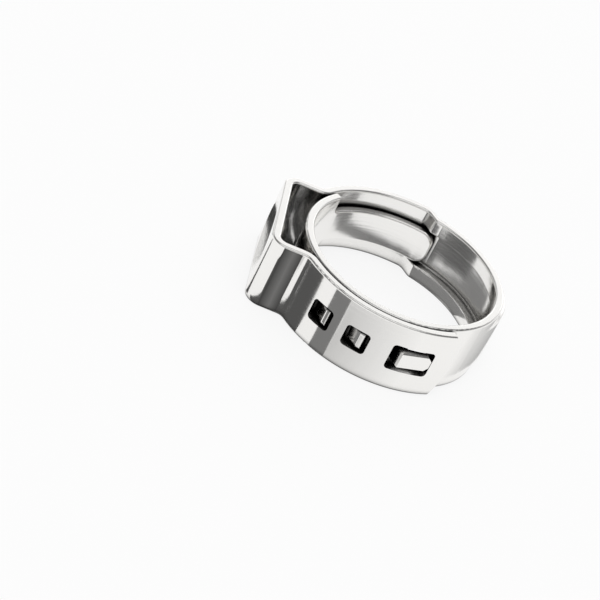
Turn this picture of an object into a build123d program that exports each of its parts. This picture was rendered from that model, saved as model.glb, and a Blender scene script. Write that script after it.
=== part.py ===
from build123d import *
from math import acos, asin, cos, degrees, radians, sin, sqrt
import os

# A stepless ear hose clamp: one steel strip, punched, pressed and rolled into a ring.
# Millimetres. The bore's axis is along +Z, the lower edge of the strip is at Z = 0 and the
# middle of the ear is on +X. Angles are in degrees about Z, counter-clockwise from +X.

# The strip
bore_radius = 8.75
strip_width = 6.7
strip_thickness = 0.8
layer_gap = 0.1
edge_round = 0.2

# The ear, pressed outward from the outer layer
ear_width = 11.9
ear_rise = 1.75
ear_corner_radius = 1.5
ear_foot_radius = 0.8
dimple_length = 8.9
dimple_width = 5.6
dimple_depth = 1.05

# Where the strip's outer end lies, and the rounding of that end
outer_end_angle = 122.0
outer_end_bulge = 0.9

# The windows punched in the outer layer: middle angle, length round the ring, width
window_angles = (55.6, 76.2)
window_length = 2.3
window_width = 2.1
window_corner = 0.35
hook_window_angle = 104.5
hook_window_length = 3.95
hook_window_width = 2.6

# The bosses pressed from the inner layer into the first two windows. Angles along a boss:
# from its start back to the window's middle, then its slope, its level top and its drop.
boss_lead = 5.85
boss_slope = 7.2
boss_level = 2.4
boss_drop = 1.2
boss_rise = 0.75
boss_clearance = 0.2
boss_round = 0.3
dent_width = 1.1

# The hook lanced from the inner layer, which reaches out through the third window. Its root
# and its crest lie before the window's middle, its tip beyond it. It sits a little above the
# strip's middle, so the gap below it is the wider one.
hook_root_lead = 10.1
hook_crest_lead = 5.9
hook_tip_reach = 9.9
hook_root_length = 0.65
hook_crest_rise = 0.5
hook_tip_rise = 0.15
hook_engagement = 0.35
hook_side_clearance = 0.45
hook_lift = 0.15
hook_nose = 0.5
hook_bevel = 0.3
hook_slit = 0.1

# The channel that takes the tongue, its run-out, and the joggle that lifts the strip's sides
tongue_width = 3.3
tongue_clearance = 0.1
channel_lean = 0.3
channel_top_margin = 0.35
channel_base_margin = 0.45
run_out_start_angle = -212.0
run_out_end_angle = -155.0
joggle_start_angle = -107.0
joggle_end_angle = -98.0
level_angle = 4.0
run_out_steps = 13
joggle_steps = 17

# The tongue at the strip's inner end, and the shoulder where it starts
tongue_reach_angle = 2.6
tongue_corner = 1.1
shoulder_angle = -39.5
shoulder_fillet = 0.5

# Radii of the two layers' faces
inner_outside = bore_radius + strip_thickness
outer_inside = inner_outside + layer_gap
outer_outside = outer_inside + strip_thickness
lift = outer_inside - bore_radius
middle_height = strip_width / 2
inner_middle = bore_radius + strip_thickness / 2
outer_middle = outer_inside + strip_thickness / 2

# Half the channel's width at its floor and mouth inside, and at its top and base outside
half_floor = tongue_width / 2 + tongue_clearance
half_mouth = half_floor + channel_lean
half_top = half_floor + channel_top_margin
half_base = half_mouth + channel_base_margin

# Angles that follow from the windows and the channel
hook_root_angle = hook_window_angle - hook_root_lead
hook_crest_angle = hook_window_angle - hook_crest_lead
hook_tip_angle = hook_window_angle + hook_tip_reach
tongue_tip_angle = joggle_start_angle - tongue_reach_angle
press_start_angle = run_out_start_angle - level_angle
outer_start_angle = joggle_end_angle + level_angle
inner_start_angle = shoulder_angle + level_angle


def polar(radius, angle):
    """The point at a radius and an angle about the bore's axis."""
    return (radius * cos(radians(angle)), radius * sin(radians(angle)))


def radial_plane(angle):
    """The plane through the bore's axis at an angle: X is the radius, Y the height."""
    outward = (cos(radians(angle)), sin(radians(angle)), 0)
    backward = (sin(radians(angle)), -cos(radians(angle)), 0)
    return Plane(origin=(0, 0, middle_height), x_dir=outward, z_dir=backward)


def facing_plane(radius, angle):
    """The plane that faces outward at a radius and an angle: X runs round the ring, Y is upward."""
    outward = (cos(radians(angle)), sin(radians(angle)), 0)
    onward = (-sin(radians(angle)), cos(radians(angle)), 0)
    x, y = polar(radius, angle)
    return Plane(origin=(x, y, middle_height), x_dir=onward, z_dir=outward)


def ease(share):
    """A smooth rise from 0 to 1, level at both ends."""
    share = min(max(share, 0), 1)
    return share * share * (3 - 2 * share)


def draw_pressed_section(side_radius, middle_radius):
    """Outline the strip's section in a radial plane, with its middle pressed outward."""
    edge = middle_height - edge_round
    side_outside = side_radius + strip_thickness
    middle_outside = middle_radius + strip_thickness
    upward = [(0, 1), (0, 1)]
    downward = [(0, -1), (0, -1)]
    Line((side_radius, -edge), (side_radius, -half_mouth))
    Spline((side_radius, -half_mouth), (middle_radius, -half_floor), tangents=upward)
    Line((middle_radius, -half_floor), (middle_radius, half_floor))
    Spline((middle_radius, half_floor), (side_radius, half_mouth), tangents=upward)
    Line((side_radius, half_mouth), (side_radius, edge))
    CenterArc((side_radius + edge_round, edge), edge_round, 180, -90)
    Line((side_radius + edge_round, middle_height), (side_outside - edge_round, middle_height))
    CenterArc((side_outside - edge_round, edge), edge_round, 90, -90)
    Line((side_outside, edge), (side_outside, half_base))
    Spline((side_outside, half_base), (middle_outside, half_top), tangents=downward)
    Line((middle_outside, half_top), (middle_outside, -half_top))
    Spline((middle_outside, -half_top), (side_outside, -half_base), tangents=downward)
    Line((side_outside, -half_base), (side_outside, -edge))
    CenterArc((side_outside - edge_round, -edge), edge_round, 0, -90)
    Line((side_outside - edge_round, -middle_height), (side_radius + edge_round, -middle_height))
    CenterArc((side_radius + edge_round, -edge), edge_round, 270, -90)


# The outer layer: round the back, over the ear, and round the front to the strip's outer end.
foot_reach = ear_width / 2 + ear_foot_radius
foot_angle = degrees(asin(foot_reach / (outer_outside + ear_foot_radius)))
foot_x = sqrt((outer_outside + ear_foot_radius) ** 2 - foot_reach**2)
corner_x = outer_outside + ear_rise - ear_corner_radius
corner_y = ear_width / 2 - ear_corner_radius
leg_y = (ear_width - strip_thickness) / 2
crown_x = outer_outside + ear_rise - strip_thickness / 2
foot_bend = ear_foot_radius + strip_thickness / 2
corner_bend = ear_corner_radius - strip_thickness / 2
outer_end_reach = outer_end_angle + degrees(outer_end_bulge / outer_outside)

# The punch that leaves the dimple is shaped like a lemon lying along the strip. Its waist
# is a circle through the dimple's long sides and its outline an arc through the ends.
punch_radius = ((dimple_width / 2) ** 2 + dimple_depth**2) / (2 * dimple_depth)
punch_x = outer_outside + ear_rise - dimple_depth + punch_radius
belly_radius = ((dimple_length / 2) ** 2 + dimple_depth**2) / (2 * dimple_depth)
belly_x = outer_outside + ear_rise - dimple_depth + belly_radius
punch_axis = Axis((punch_x, 0, middle_height), (0, 1, 0))


def draw_punch(allowance):
    """Half the punch's outline, grown by an allowance, in a plane through its axis."""
    radius = belly_radius + allowance
    half_angle = degrees(acos((belly_x - punch_x) / radius))
    belly = CenterArc((belly_x, 0), radius, 180 - half_angle, 2 * half_angle)
    Line(belly @ 1, belly @ 0)


with BuildPart() as outer_layer:
    with BuildLine(Plane.XY.offset(middle_height)) as centreline:
        CenterArc((0, 0), outer_middle, outer_start_angle, -foot_angle - outer_start_angle)
        CenterArc((foot_x, -foot_reach), foot_bend, 180 - foot_angle, foot_angle - 90)
        Line((foot_x, -leg_y), (corner_x, -leg_y))
        CenterArc((corner_x, -corner_y), corner_bend, -90, 90)
        Line((crown_x, -corner_y), (crown_x, corner_y))
        CenterArc((corner_x, corner_y), corner_bend, 0, 90)
        Line((corner_x, leg_y), (foot_x, leg_y))
        CenterArc((foot_x, foot_reach), foot_bend, 270, foot_angle - 90)
        CenterArc((0, 0), outer_middle, foot_angle, outer_end_reach - foot_angle)
    with BuildSketch(radial_plane(outer_start_angle)):
        with Locations((outer_middle, 0)):
            RectangleRounded(strip_thickness, strip_width, edge_round)
    sweep(path=centreline.line)

    # The windows
    for angle in window_angles:
        with BuildSketch(facing_plane(inner_outside, angle)):
            RectangleRounded(window_length, window_width, window_corner)
        extrude(amount=2 * strip_thickness, mode=Mode.SUBTRACT)
    with BuildSketch(facing_plane(inner_outside, hook_window_angle)):
        RectangleRounded(hook_window_length, hook_window_width, window_corner)
    extrude(amount=2 * strip_thickness, mode=Mode.SUBTRACT)

    # The strip's outer end, rounded to a bow
    with BuildSketch(facing_plane(inner_outside, outer_end_angle)):
        with BuildLine():
            bow = ThreePointArc((0, -middle_height), (outer_end_bulge, 0), (0, middle_height))
            Polyline(
                bow @ 1,
                (0, strip_width),
                (4 * outer_end_bulge, strip_width),
                (4 * outer_end_bulge, -strip_width),
                (0, -strip_width),
                bow @ 0,
            )
        make_face()
    extrude(amount=2 * strip_thickness, mode=Mode.SUBTRACT)

    # The dimple in the ear's crown: the strip follows a lemon-shaped punch
    with BuildSketch(Plane.XY.offset(middle_height)):
        with BuildLine():
            draw_punch(0)
        make_face()
    revolve(axis=punch_axis, mode=Mode.SUBTRACT)

with BuildPart() as dimple_back:
    with BuildSketch(Plane.XY.offset(middle_height)):
        with BuildLine():
            draw_punch(strip_thickness)
        make_face()
    revolve(axis=punch_axis)
    split(bisect_by=Plane.YZ.offset(crown_x - strip_thickness / 4), keep=Keep.BOTTOM)
    with BuildSketch(Plane.XY.offset(middle_height)):
        with BuildLine():
            draw_punch(0)
        make_face()
    revolve(axis=punch_axis, mode=Mode.SUBTRACT)

# The channel's run-out, where the middle of the strip is gradually pressed outward
with BuildPart() as run_out:
    for step in range(run_out_steps + 1):
        share = step / run_out_steps
        angle = press_start_angle + share * (run_out_end_angle + level_angle - press_start_angle)
        depth_share = (angle - run_out_start_angle) / (run_out_end_angle - run_out_start_angle)
        with BuildSketch(radial_plane(angle)):
            with BuildLine():
                draw_pressed_section(bore_radius, bore_radius + lift * ease(depth_share))
            make_face()
    loft()

# The channel at its full depth
with BuildPart() as channel:
    with BuildSketch(radial_plane(run_out_end_angle + level_angle)):
        with BuildLine():
            draw_pressed_section(bore_radius, outer_inside)
        make_face()
    revolve(
        axis=Axis.Z,
        revolution_arc=joggle_start_angle - run_out_end_angle - 2 * level_angle,
    )

# The joggle, where the two sides of the strip step outward to the level of its middle
with BuildPart() as joggle:
    for step in range(joggle_steps + 1):
        share = step / joggle_steps
        angle = joggle_start_angle - level_angle
        angle += share * (outer_start_angle - angle)
        rise_share = (angle - joggle_start_angle) / (joggle_end_angle - joggle_start_angle)
        with BuildSketch(radial_plane(angle)):
            with BuildLine():
                draw_pressed_section(bore_radius + lift * ease(rise_share), outer_inside)
            make_face()
    loft()

# One boss and the dent behind it, drawn at angle zero
boss_top = inner_outside + boss_rise
boss_edge_angle = boss_slope + boss_level
boss_end_angle = boss_edge_angle + boss_drop
with BuildPart() as boss:
    with BuildSketch(Plane.XY.offset(middle_height)):
        with BuildLine():
            Polyline(
                polar(inner_middle, 0),
                polar(inner_outside, 0),
                polar(boss_top, boss_slope),
                polar(boss_top, boss_edge_angle),
                polar(inner_outside, boss_end_angle),
                polar(inner_middle, boss_end_angle),
                close=True,
            )
        make_face()
    extrude(amount=window_width / 2 - boss_clearance, both=True)
    top_face = boss.faces().sort_by_distance(
        (*polar(boss_top, boss_slope + boss_level / 2), middle_height)
    )[0]
    slope_face = boss.faces().sort_by_distance((*polar(boss_top, boss_slope / 2), middle_height))[0]
    fillet(top_face.edges() + slope_face.edges(), boss_round)

with BuildPart() as dent:
    with BuildSketch(Plane.XY.offset(middle_height)):
        with BuildLine():
            Polyline(
                polar(bore_radius, 0),
                polar(bore_radius + boss_rise, boss_slope),
                polar(bore_radius, boss_slope + boss_drop),
                close=True,
            )
        make_face()
    extrude(amount=dent_width / 2, both=True)

# The hook, lanced from the inner layer
hook_slit_start = hook_root_angle + degrees(hook_root_length / inner_middle)
hook_width = hook_window_width - 2 * hook_side_clearance
hook_crest = outer_outside + hook_crest_rise
hook_underside = outer_outside - hook_engagement
hook_lean = (hook_crest_angle - hook_root_angle) / (hook_crest - inner_outside)
hook_bend_angle = hook_slit_start + hook_lean * (hook_underside - inner_middle)
with BuildPart() as hook:
    with BuildSketch(Plane.XY.offset(middle_height)):
        with BuildLine():
            underside = CenterArc(
                (0, 0), hook_underside, hook_tip_angle, hook_bend_angle - hook_tip_angle
            )
            Polyline(
                underside @ 1,
                polar(inner_middle, hook_slit_start),
                polar(inner_middle, hook_root_angle),
                polar(inner_outside, hook_root_angle),
                polar(hook_crest, hook_crest_angle),
                polar(outer_outside + hook_tip_rise, hook_tip_angle),
                underside @ 0,
            )
        make_face()
    extrude(amount=hook_width / 2, both=True)
    tops = hook.faces().filter_by(Axis.Z, reverse=True).sort_by_distance(
        (*polar(hook_crest, hook_crest_angle), middle_height)
    )[0:2]
    chamfer(tops.edges().filter_by(Axis.Z, reverse=True), hook_bevel / 2, hook_bevel)
    with BuildSketch(facing_plane(0, hook_tip_angle)):
        with BuildLine():
            Polyline(
                (-strip_width, -hook_width / 2),
                (-hook_nose, -hook_width / 2),
                (0, hook_nose - hook_width / 2),
                (0, hook_width / 2 - hook_nose),
                (-hook_nose, hook_width / 2),
                (-strip_width, hook_width / 2),
                close=True,
            )
        make_face()
    extrude(amount=hook_crest + strip_thickness, mode=Mode.INTERSECT)

# The inner layer, from the shoulder round under the ear and the windows to the channel
with BuildPart() as inner_layer:
    with BuildSketch(radial_plane(inner_start_angle)):
        with Locations((inner_middle, 0)):
            RectangleRounded(strip_thickness, strip_width, edge_round)
    revolve(axis=Axis.Z, revolution_arc=press_start_angle + 360 - inner_start_angle)
    for angle in window_angles:
        with Locations(Rotation(0, 0, angle - boss_lead)):
            add(boss.part)
            add(dent.part, mode=Mode.SUBTRACT)
    half_slit = (hook_tip_angle - hook_slit_start) / 2
    with BuildSketch(facing_plane(0, hook_slit_start + half_slit)):
        with Locations((0, hook_lift)):
            Rectangle(2 * inner_middle * sin(radians(half_slit)), hook_width + 2 * hook_slit)
    extrude(amount=inner_outside + strip_thickness, mode=Mode.SUBTRACT)
    with Locations((0, 0, hook_lift)):
        add(hook.part)

# The tongue, narrower than the strip, which slides in the channel
with BuildPart() as tongue:
    with BuildSketch(radial_plane(tongue_tip_angle)):
        with Locations((inner_middle, 0)):
            Rectangle(strip_thickness, strip_width)
    revolve(axis=Axis.Z, revolution_arc=inner_start_angle - tongue_tip_angle)
    with BuildSketch(radial_plane(tongue_tip_angle)):
        with Locations(
            (inner_middle, (tongue_width + strip_width) / 2),
            (inner_middle, -(tongue_width + strip_width) / 2),
        ):
            Rectangle(2 * strip_thickness, strip_width)
    revolve(axis=Axis.Z, revolution_arc=shoulder_angle - tongue_tip_angle, mode=Mode.SUBTRACT)
    corners = tongue.edges().filter_by(lambda edge: abs(edge.length - strip_thickness) < 0.001)
    fillet(
        corners.sort_by_distance((*polar(inner_middle, tongue_tip_angle), middle_height))[0:2],
        tongue_corner,
    )
    corners = tongue.edges().filter_by(lambda edge: abs(edge.length - strip_thickness) < 0.001)
    fillet(
        corners.sort_by_distance((*polar(inner_middle, shoulder_angle), middle_height))[0:2],
        shoulder_fillet,
    )
    corners = tongue.edges().filter_by(lambda edge: abs(edge.length - strip_thickness) < 0.001)
    end_face = tongue.faces().sort_by_distance(
        (*polar(inner_middle, inner_start_angle), middle_height)
    )[0]
    fillet(tongue.edges() - end_face.edges() - corners, edge_round)

with BuildPart() as clamp_band:
    add(outer_layer.part)
    add(dimple_back.part)
    add(run_out.part)
    add(channel.part)
    add(joggle.part)
    add(inner_layer.part)
    add(tongue.part)

clamp_band.part.label = "clamp_band"
os.makedirs("parts", exist_ok=True)
export_step(clamp_band.part, "parts/clamp_band.step")
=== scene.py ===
from math import cos, radians, sin

import bpy
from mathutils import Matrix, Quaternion, Vector

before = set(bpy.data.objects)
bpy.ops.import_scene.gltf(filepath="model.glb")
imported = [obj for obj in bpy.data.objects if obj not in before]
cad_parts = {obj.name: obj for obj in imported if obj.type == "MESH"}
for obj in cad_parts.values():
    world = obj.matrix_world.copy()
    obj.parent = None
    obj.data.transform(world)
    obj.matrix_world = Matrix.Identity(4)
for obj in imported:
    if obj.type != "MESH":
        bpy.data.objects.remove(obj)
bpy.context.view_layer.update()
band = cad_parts["clamp_band"]
mm = 0.001

# The photograph's camera: it looks at a point beside the ear, from above, leaning over
camera_target = Vector((7.02, 1.49, -0.57)) * mm
camera_distance = 200.9 * mm
camera_azimuth = 81.82
camera_elevation = 32.21
camera_roll = 26.8
camera_lens = 135.42
camera_sensor = 36
camera_near = 0.01

# The steel: fine grain along the strip, a slower ripple, and duller sheared edges. A face counts
# as sheared by how far its normal is from level, between the two ends of sheared_slope
anisotropy = 0.6
grain_turn = 0.25
grain_scale = (60, 60, 9000)
grain_detail = 4
grain_roughness = (0.08, 0.2)
grain_strength = 0.6
grain_depth = 0.006 * mm
ripple_scale = 500
ripple_detail = 1
ripple_strength = 0.5
ripple_depth = 0.03 * mm
sheared_slope = (0.15, 0.6)
sheared_roughness = 0.26

# Its colour, and the painted shade that darkens it in wide hollows and narrow slots: how far each
# reaches, the open shares between which it clears, and its darkest painted shade
steel_colour = (0.9, 0.89, 0.87, 1)
no_change = (1, 1, 1, 1)
hollow_shade_reach = 1.6 * mm
hollow_shade_open = (0.3, 0.68)
hollow_painted_shade = (0.04, 0.038, 0.036, 1)
slot_shade_reach = 0.5 * mm
slot_shade_open = (0.4, 0.93)
slot_painted_shade = (0.05, 0.05, 0.05, 1)

# The studio: a white floor, of which floor_glow is its own light where it is seen, and white
# walls. Its ceiling darkens between two elevations, given as sines. Other rays find world_light
floor_size = 4
floor_colour = (0.9, 0.9, 0.9, 1)
floor_glow = 0.85
ceiling_rise = (0.24, 0.5)
ceiling_greys = (1, 0.15)
world_light = 0.8
softbox_distance = 0.9
softbox_size = 0.9
softbox_watts = 2.1

# The grey cards stand in for surroundings that the photograph's steel seems to mirror. They are
# fitted to its camera alone, so elsewhere their reflections fall differently, and the exported
# model doesn't carry them. What places them: the camera's bearing, the slope of its view, and
# the radius of the ring's outer wall in millimetres
camera_bearing = 79.6
camera_slope = 0.598
wall_radius = 10.45
card_height = 0.02
stripe_foot = 0.1
stripe_steps = 8


def direction(azimuth, elevation):
    """The unit vector towards an azimuth from +X and an elevation, in degrees."""
    level = cos(radians(elevation))
    return Vector((
        level * cos(radians(azimuth)),
        level * sin(radians(azimuth)),
        sin(radians(elevation)),
    ))


def add_camera():
    """A camera at the photograph's viewing angle."""
    data = bpy.data.cameras.new("camera")
    data.lens = camera_lens
    data.sensor_width = camera_sensor
    data.clip_start = camera_near
    camera = bpy.data.objects.new("camera", data)
    towards = direction(camera_azimuth, camera_elevation)
    camera.location = camera_target + camera_distance * towards
    turn = towards.to_track_quat("Z", "Y")
    camera.rotation_mode = "QUATERNION"
    camera.rotation_quaternion = turn @ Quaternion((0, 0, 1), radians(camera_roll))
    bpy.context.collection.objects.link(camera)
    bpy.context.scene.camera = camera


def new_material(name):
    """An empty node material and its node tree."""
    material = bpy.data.materials.new(name)
    material.use_nodes = True
    material.node_tree.nodes.clear()
    return material, material.node_tree


def add_node(tree, kind, values):
    """A shader node with its inputs set by name."""
    node = tree.nodes.new(kind)
    for name, value in values.items():
        node.inputs[name].default_value = value
    return node


def add_math(tree, operation, *sockets):
    """The result of one maths node on some sockets."""
    node = tree.nodes.new("ShaderNodeMath")
    node.operation = operation
    for socket, entry in zip(sockets, node.inputs):
        tree.links.new(socket, entry)
    return node.outputs[0]


def add_range(tree, socket, ends, results):
    """A socket's value, brought from between two ends to between two results."""
    limits = {"From Min": ends[0], "From Max": ends[1], "To Min": results[0], "To Max": results[1]}
    node = add_node(tree, "ShaderNodeMapRange", limits)
    tree.links.new(socket, node.inputs["Value"])
    return node.outputs[0]


def add_noise(tree, vector, scale, detail):
    """Noise over a vector."""
    node = add_node(tree, "ShaderNodeTexNoise", {"Scale": scale, "Detail": detail})
    tree.links.new(vector, node.inputs["Vector"])
    return node.outputs["Fac"]


def add_bump(tree, height, strength, depth):
    """A bump node that follows a height."""
    node = add_node(tree, "ShaderNodeBump", {"Strength": strength, "Distance": depth})
    tree.links.new(height, node.inputs["Height"])
    return node


def add_painted_crevice_shade(tree, reach, open_shares, dark, clear):
    """A colour that goes from painted shade in crevices of a reach to clear in the open."""
    crevice = add_node(tree, "ShaderNodeAmbientOcclusion", {"Distance": reach})
    ramp = tree.nodes.new("ShaderNodeValToRGB")
    for stop, share, colour in zip(ramp.color_ramp.elements, open_shares, (dark, clear)):
        stop.position = share
        stop.color = colour
    tree.links.new(crevice.outputs["AO"], ramp.inputs["Fac"])
    return ramp.outputs["Color"]


def add_up(tree, vector):
    """The upward part of a vector."""
    axes = tree.nodes.new("ShaderNodeSeparateXYZ")
    tree.links.new(vector, axes.inputs[0])
    return axes.outputs["Z"]


def link_roughness(tree, grain, metal):
    """Grain's roughness on the strip's flats, and an even one on its sheared edges."""
    shape = tree.nodes.new("ShaderNodeNewGeometry")
    slope = add_math(tree, "ABSOLUTE", add_up(tree, shape.outputs["Normal"]))
    mix = add_node(tree, "ShaderNodeMix", {"B": sheared_roughness})
    tree.links.new(add_range(tree, slope, sheared_slope, (0, 1)), mix.inputs["Factor"])
    tree.links.new(add_range(tree, grain, (0, 1), grain_roughness), mix.inputs["A"])
    tree.links.new(mix.outputs["Result"], metal.inputs["Roughness"])


def link_relief(tree, grain, ripple, metal):
    """Grain on top of the ripple, as bump."""
    wave = add_bump(tree, ripple, ripple_strength, ripple_depth)
    scratch = add_bump(tree, grain, grain_strength, grain_depth)
    tree.links.new(wave.outputs[0], scratch.inputs["Normal"])
    tree.links.new(scratch.outputs[0], metal.inputs["Normal"])


def link_colour_and_painted_shade(tree, metal):
    """The steel's colour, with painted shade in its hollows and more painted shade in its slots."""
    # Painted shade: ambient occlusion darkens the colour in hollows and slots, where shade falls
    hollow = add_painted_crevice_shade(tree, hollow_shade_reach, hollow_shade_open, hollow_painted_shade, steel_colour)
    slot_shade = add_painted_crevice_shade(tree, slot_shade_reach, slot_shade_open, slot_painted_shade, no_change)
    both = tree.nodes.new("ShaderNodeMix")
    both.data_type = "RGBA"
    both.blend_type = "MULTIPLY"
    both.inputs["Factor"].default_value = 1
    tree.links.new(hollow, both.inputs["A"])
    tree.links.new(slot_shade, both.inputs["B"])
    tree.links.new(both.outputs["Result"], metal.inputs["Base Color"])


def steel_material():
    """Bright rolled stainless strip: fine grain along the strip, with painted shade in the
    crevices.
    """
    material, tree = new_material("polished_steel")
    output = tree.nodes.new("ShaderNodeOutputMaterial")
    finish = {"Metallic": 1, "Anisotropic": anisotropy, "Anisotropic Rotation": grain_turn}
    metal = add_node(tree, "ShaderNodeBsdfPrincipled", finish)
    around = tree.nodes.new("ShaderNodeTangent")
    around.direction_type = "RADIAL"
    around.axis = "Z"
    tree.links.new(around.outputs[0], metal.inputs["Tangent"])

    place = tree.nodes.new("ShaderNodeTexCoord")
    along = add_node(tree, "ShaderNodeMapping", {"Scale": grain_scale})
    tree.links.new(place.outputs["Object"], along.inputs["Vector"])
    grain = add_noise(tree, along.outputs[0], 1, grain_detail)
    ripple = add_noise(tree, place.outputs["Object"], ripple_scale, ripple_detail)
    link_roughness(tree, grain, metal)
    link_relief(tree, grain, ripple, metal)
    link_colour_and_painted_shade(tree, metal)
    tree.links.new(metal.outputs[0], output.inputs["Surface"])
    return material


def seen_ray(tree):
    """1 for the rays that see the background: camera, glossy and transmission."""
    rays = tree.nodes.new("ShaderNodeLightPath")
    kinds = rays.outputs
    through = add_math(tree, "MAXIMUM", kinds["Is Glossy Ray"], kinds["Is Transmission Ray"])
    return add_math(tree, "MAXIMUM", kinds["Is Camera Ray"], through)


def floor_material():
    """White that camera and metal see as white, and that keeps a soft shadow."""
    material, tree = new_material("floor_white")
    output = tree.nodes.new("ShaderNodeOutputMaterial")
    paper = add_node(tree, "ShaderNodeBsdfDiffuse", {"Color": floor_colour})
    glow = tree.nodes.new("ShaderNodeEmission")
    mix = tree.nodes.new("ShaderNodeMixShader")
    share = add_range(tree, seen_ray(tree), (0, 1), (0, floor_glow))
    tree.links.new(share, mix.inputs["Fac"])
    tree.links.new(paper.outputs[0], mix.inputs[1])
    tree.links.new(glow.outputs[0], mix.inputs[2])
    tree.links.new(mix.outputs[0], output.inputs["Surface"])
    return material


def studio_world():
    """Even light on the object, in a white studio whose ceiling is dark.

    The camera, the metal and glass all see that studio alike.
    """
    world = bpy.data.worlds.new("studio")
    world.use_nodes = True
    tree = world.node_tree
    tree.nodes.clear()
    output = tree.nodes.new("ShaderNodeOutputWorld")
    room = tree.nodes.new("ShaderNodeBackground")
    place = tree.nodes.new("ShaderNodeTexCoord")
    ceiling = add_range(tree, add_up(tree, place.outputs["Generated"]), ceiling_rise, ceiling_greys)
    strength = add_node(tree, "ShaderNodeMix", {"A": world_light})
    tree.links.new(seen_ray(tree), strength.inputs["Factor"])
    tree.links.new(ceiling, strength.inputs["B"])
    tree.links.new(strength.outputs["Result"], room.inputs["Strength"])
    tree.links.new(room.outputs[0], output.inputs["Surface"])
    return world


def add_floor():
    """The white floor that the clamp lies on."""
    half = floor_size / 2
    corners = [(-half, -half, 0), (half, -half, 0), (half, half, 0), (-half, half, 0)]
    mesh = bpy.data.meshes.new("floor")
    mesh.from_pydata(corners, [], [(0, 1, 2, 3)])
    mesh.materials.append(floor_material())
    floor = bpy.data.objects.new("floor", mesh)
    bpy.context.collection.objects.link(floor)


def add_softbox(name, azimuth, elevation):
    """A square area light that faces the object."""
    data = bpy.data.lights.new(name, "AREA")
    data.shape = "SQUARE"
    data.size = softbox_size
    data.energy = softbox_watts
    light = bpy.data.objects.new(name, data)
    towards = direction(azimuth, elevation)
    light.location = softbox_distance * towards
    light.rotation_mode = "QUATERNION"
    light.rotation_quaternion = towards.to_track_quat("Z", "Y")
    bpy.context.collection.objects.link(light)


def reflection_card_material():
    """Card that glows as bright as the grey at each of its corners, under any lamp: a painted
    reflection.
    """
    material, tree = new_material("card")
    output = tree.nodes.new("ShaderNodeOutputMaterial")
    glow = tree.nodes.new("ShaderNodeEmission")
    grey = tree.nodes.new("ShaderNodeAttribute")
    grey.attribute_name = "grey"
    tree.links.new(grey.outputs["Fac"], glow.inputs["Strength"])
    tree.links.new(glow.outputs[0], output.inputs["Surface"])
    return material


def add_card(name, corners, faces, greys):
    """A card that only the metal mirrors, from its corners in millimetres."""
    mesh = bpy.data.meshes.new(name)
    mesh.from_pydata([Vector(corner) * mm for corner in corners], [], faces)
    shades = mesh.attributes.new("grey", "FLOAT", "POINT")
    for shade, grey in zip(shades.data, greys):
        shade.value = grey
    mesh.materials.append(glowing_reflection_card)
    card = bpy.data.objects.new(name, mesh)
    card.visible_camera = False
    card.visible_diffuse = False
    card.visible_shadow = False
    bpy.context.collection.objects.link(card)


def add_strip(name, lower, upper, greys):
    """A card between two rows of points, with a grey for each pair."""
    count = len(lower)
    faces = [(i, i + 1, count + i + 1, count + i) for i in range(count - 1)]
    add_card(name, lower + upper, faces, greys + greys)


def add_flat(name, outline, grey):
    """A card of one grey that lies on the floor."""
    corners = [(x, y, card_height) for x, y in outline]
    add_card(name, corners, [range(len(corners))], [grey] * len(corners))


def add_upright(name, line, height, greys):
    """An upright card over a line on the floor, with a grey at each of its points."""
    add_strip(name, [(*point, 0) for point in line], [(*point, height) for point in line], greys)


def mirrored(angle, height):
    """The floor point that the ring's outer wall shows the camera at an angle and a height."""
    away = 2 * angle - camera_bearing
    reach = height / camera_slope
    return (
        wall_radius * cos(radians(angle)) + reach * cos(radians(away)),
        wall_radius * sin(radians(angle)) + reach * sin(radians(away)),
        card_height,
    )


def add_stripe(name, angles, greys, height):
    """A floor card that the outer wall mirrors as a stripe between two angles, up to a height."""
    shares = [step / stripe_steps for step in range(stripe_steps + 1)]
    places = [angles[0] + (angles[1] - angles[0]) * share for share in shares]
    shades = [greys[0] + (greys[1] - greys[0]) * share for share in shares]
    near = [mirrored(place, stripe_foot) for place in places]
    far = [mirrored(place, height) for place in places]
    add_strip(name, near, far, shades)


for name in ("Cube", "Light", "Camera"):
    leftover = bpy.data.objects.get(name)
    if leftover:
        bpy.data.objects.remove(leftover)

add_camera()
band.material_slots[0].material = steel_material()
add_floor()
add_softbox("softbox_back", azimuth=260, elevation=36)
add_softbox("softbox_top", azimuth=90, elevation=70)

# The cards glow though they are no lamps: painted reflections, dark and grey, for the steel to
# mirror
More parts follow.
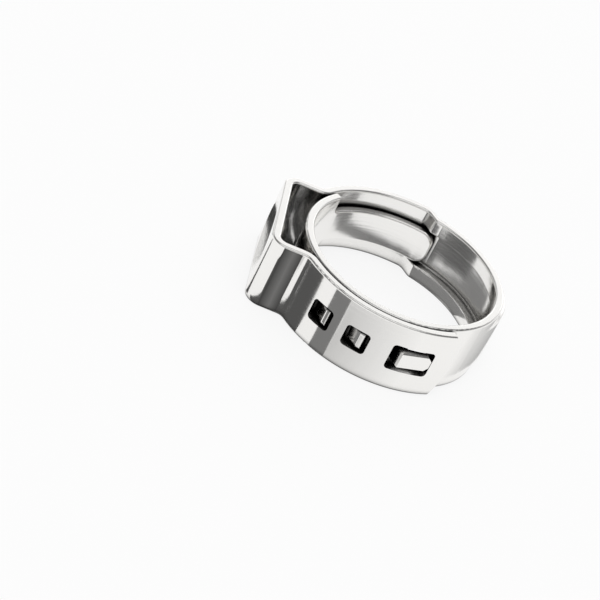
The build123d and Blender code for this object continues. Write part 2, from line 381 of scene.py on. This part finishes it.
glowing_reflection_card = reflection_card_material()

# What the outer wall mirrors: a stripe beside the ear, another between the windows, and greys
# that fade past the hook
add_stripe("card_ear_side", angles=(36.4, 47.5), greys=(0.09, 0.09), height=2.5)
add_upright("card_ear_front", line=[(11, 6), (11, 8.8)], height=5.2, greys=[0.09, 0.09])
add_stripe("card_between_windows", angles=(57, 66), greys=(0.2, 0.2), height=1)
window_front = [(7.02, 9.66), (5.23, 10.81)]
add_upright("card_window_front", line=window_front, height=5.8, greys=[0.2, 0.2])
add_stripe("card_hook_fade", angles=(66, 104), greys=(0.6, 0.96), height=7)

# What the ear mirrors: its leg, its hollow, its front corner and the rear of its dimple
leg = [(9.1, 6.3), (9.9, 6.3), (10.9, 6.3)]
add_upright("card_leg", line=leg, height=6.5, greys=[0.06, 0.17, 0.05])
hollow = [(8.6, 4.9), (11.4, 4.9), (11.4, -4.9), (8.6, -4.9), (9.3, -2.6), (9.66, 0), (9.3, 2.6)]
add_flat("card_ear_hollow", outline=hollow, grey=0.04)
corner = [(12.5, 5.1), (21.5, 1.2), (21, -1.2), (12.5, 4.3)]
add_flat("card_corner", outline=corner, grey=0.08)
crown = [(14.6, -6.4), (24, -7), (26, -14), (15.2, -11.5)]
add_flat("card_crown", outline=crown, grey=0.05)

# What the far inner wall mirrors past the end of the tongue
inside = [(-1.6, -5.7), (-0.5, -4), (0.6, -2.3), (1.9, -0.3), (3.5, 1.5), (5.5, 2.6), (8.2, 1.5),
          (8.3, -1.5), (7, -4.6), (4.6, -5.4), (1, -5.2)]
add_flat("card_inside", outline=inside, grey=0.12)
rear = [(-1.6, -5.7), (1, -5.2), (1, -6.6), (-2.5, -8.2), (-4.5, -7.3), (-7, -5), (-6.3, -4.4),
        (-4.2, -5.3)]
add_flat("card_inside_rear", outline=rear, grey=0.22)

# What the wall past the outer layer's end mirrors
add_stripe("card_rear", angles=(138, 166), greys=(0.96, 0.4), height=7)

bpy.context.scene.world = studio_world()
bpy.context.scene.view_settings.view_transform = "Standard"
